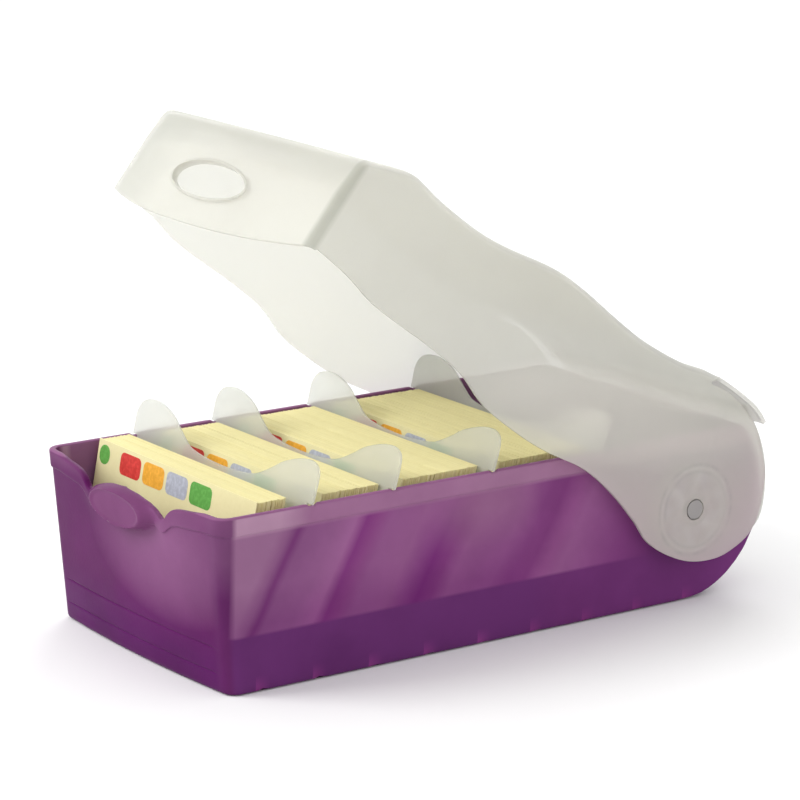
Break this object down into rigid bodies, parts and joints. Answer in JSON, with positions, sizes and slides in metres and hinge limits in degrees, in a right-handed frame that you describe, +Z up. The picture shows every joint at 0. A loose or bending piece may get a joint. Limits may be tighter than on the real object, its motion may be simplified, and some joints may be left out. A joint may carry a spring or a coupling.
{
  "type": "desktop card file",
  "caption": "Tabletop file for index cards: open tray with upright dividers and leaning card stacks under a wavy hinged lid.",
  "frame": {"origin": "centre of the bounding box's footprint, on the surface that the tray stands on", "axes": "+Z up, +Y from the front wall with the thumb boss to the hinge end, +X along the lid's hinge axis"},
  "size_m": [0.129, 0.2458, 0.1808],
  "materials": {
    "tray": "translucent moulded polypropylene, satin",
    "lid": "frosted translucent moulded polypropylene",
    "hub": "moulded polypropylene, satin",
    "divider": "frosted clear sheet plastic",
    "cards": "uncoated card stock",
    "index_card": "uncoated card stock, printed index marks"
  },
  "bodies": {
    "tray": {"base_tray": "tray", "hub_disc_right": "hub", "hub_disc_left": "hub", "divider_a": "divider", "divider_b": "divider", "divider_c": "divider", "divider_d": "divider"},
    "lid": {"lid_shell": "lid"},
    "index_card_1_body": {"index_card_1": "index_card"},
    "cards_1a_body": {"cards_1a": "cards"},
    "cards_1b_body": {"cards_1b": "cards"},
    "index_card_2_body": {"index_card_2": "index_card"},
    "cards_2a_body": {"cards_2a": "cards"},
    "cards_2b_body": {"cards_2b": "cards"},
    "cards_2c_body": {"cards_2c": "cards"},
    "index_card_3_body": {"index_card_3": "index_card"},
    "cards_3a_body": {"cards_3a": "cards"},
    "cards_3b_body": {"cards_3b": "cards"},
    "cards_3c_body": {"cards_3c": "cards"},
    "cards_3d_body": {"cards_3d": "cards"},
    "index_card_4_body": {"index_card_4": "index_card"},
    "cards_4a_body": {"cards_4a": "cards"},
    "cards_4b_body": {"cards_4b": "cards"},
    "cards_4c_body": {"cards_4c": "cards"},
    "cards_4d_body": {"cards_4d": "cards"}
  },
  "joints": [
    {"name": "lid_hinge", "type": "hinge", "parent": "tray", "child": "lid", "pos_m": [0, 0.08364, 0.0365], "axis": [1, 0, 0], "range_deg": [-30, 33]},
    {"name": "index_card_1_tilt", "type": "hinge", "parent": "tray", "child": "index_card_1_body", "pos_m": [0, -0.10846, 0.00415], "axis": [1, 0, 0], "range_deg": [0, 13]},
    {"name": "cards_1a_tilt", "type": "hinge", "parent": "tray", "child": "cards_1a_body", "pos_m": [0, -0.10761, 0.00415], "axis": [1, 0, 0], "range_deg": [0, 13]},
    {"name": "cards_1b_tilt", "type": "hinge", "parent": "tray", "child": "cards_1b_body", "pos_m": [0, -0.10171, 0.00415], "axis": [1, 0, 0], "range_deg": [0, 13]},
    {"name": "index_card_2_tilt", "type": "hinge", "parent": "tray", "child": "index_card_2_body", "pos_m": [0, -0.08636, 0.00415], "axis": [1, 0, 0], "range_deg": [0, 6]},
    {"name": "cards_2a_tilt", "type": "hinge", "parent": "tray", "child": "cards_2a_body", "pos_m": [0, -0.08551, 0.00415], "axis": [1, 0, 0], "range_deg": [0, 6]},
    {"name": "cards_2b_tilt", "type": "hinge", "parent": "tray", "child": "cards_2b_body", "pos_m": [0, -0.07771, 0.00415], "axis": [1, 0, 0], "range_deg": [0, 6]},
    {"name": "cards_2c_tilt", "type": "hinge", "parent": "tray", "child": "cards_2c_body", "pos_m": [0, -0.06991, 0.00415], "axis": [1, 0, 0], "range_deg": [0, 6]},
    {"name": "index_card_3_tilt", "type": "hinge", "parent": "tray", "child": "index_card_3_body", "pos_m": [0, -0.05306, 0.00415], "axis": [1, 0, 0], "range_deg": [0, 6]},
    {"name": "cards_3a_tilt", "type": "hinge", "parent": "tray", "child": "cards_3a_body", "pos_m": [0, -0.05221, 0.00415], "axis": [1, 0, 0], "range_deg": [0, 6]},
    {"name": "cards_3b_tilt", "type": "hinge", "parent": "tray", "child": "cards_3b_body", "pos_m": [0, -0.04416, 0.00415], "axis": [1, 0, 0], "range_deg": [0, 6]},
    {"name": "cards_3c_tilt", "type": "hinge", "parent": "tray", "child": "cards_3c_body", "pos_m": [0, -0.03611, 0.00415], "axis": [1, 0, 0], "range_deg": [0, 6]},
    {"name": "cards_3d_tilt", "type": "hinge", "parent": "tray", "child": "cards_3d_body", "pos_m": [0, -0.02806, 0.00415], "axis": [1, 0, 0], "range_deg": [0, 6]},
    {"name": "index_card_4_tilt", "type": "hinge", "parent": "tray", "child": "index_card_4_body", "pos_m": [0, -0.01136, 0.00415], "axis": [1, 0, 0], "range_deg": [0, 6]},
    {"name": "cards_4a_tilt", "type": "hinge", "parent": "tray", "child": "cards_4a_body", "pos_m": [0, -0.01051, 0.00415], "axis": [1, 0, 0], "range_deg": [0, 6]},
    {"name": "cards_4b_tilt", "type": "hinge", "parent": "tray", "child": "cards_4b_body", "pos_m": [0, -0.00101, 0.00415], "axis": [1, 0, 0], "range_deg": [0, 6]},
    {"name": "cards_4c_tilt", "type": "hinge", "parent": "tray", "child": "cards_4c_body", "pos_m": [0, 0.00849, 0.00415], "axis": [1, 0, 0], "range_deg": [0, 6]},
    {"name": "cards_4d_tilt", "type": "hinge", "parent": "tray", "child": "cards_4d_body", "pos_m": [0, 0.01799, 0.00415], "axis": [1, 0, 0], "range_deg": [0, 6]}
  ],
  "couplings": [
    {"joint": "cards_1a_tilt", "follows": "index_card_1_tilt", "ratio": 1},
    {"joint": "cards_1b_tilt", "follows": "index_card_1_tilt", "ratio": 1},
    {"joint": "cards_2a_tilt", "follows": "index_card_2_tilt", "ratio": 1},
    {"joint": "cards_2b_tilt", "follows": "index_card_2_tilt", "ratio": 1},
    {"joint": "cards_2c_tilt", "follows": "index_card_2_tilt", "ratio": 1},
    {"joint": "cards_3a_tilt", "follows": "index_card_3_tilt", "ratio": 1},
    {"joint": "cards_3b_tilt", "follows": "index_card_3_tilt", "ratio": 1},
    {"joint": "cards_3c_tilt", "follows": "index_card_3_tilt", "ratio": 1},
    {"joint": "cards_3d_tilt", "follows": "index_card_3_tilt", "ratio": 1},
    {"joint": "cards_4a_tilt", "follows": "index_card_4_tilt", "ratio": 1},
    {"joint": "cards_4b_tilt", "follows": "index_card_4_tilt", "ratio": 1},
    {"joint": "cards_4c_tilt", "follows": "index_card_4_tilt", "ratio": 1},
    {"joint": "cards_4d_tilt", "follows": "index_card_4_tilt", "ratio": 1}
  ]
}
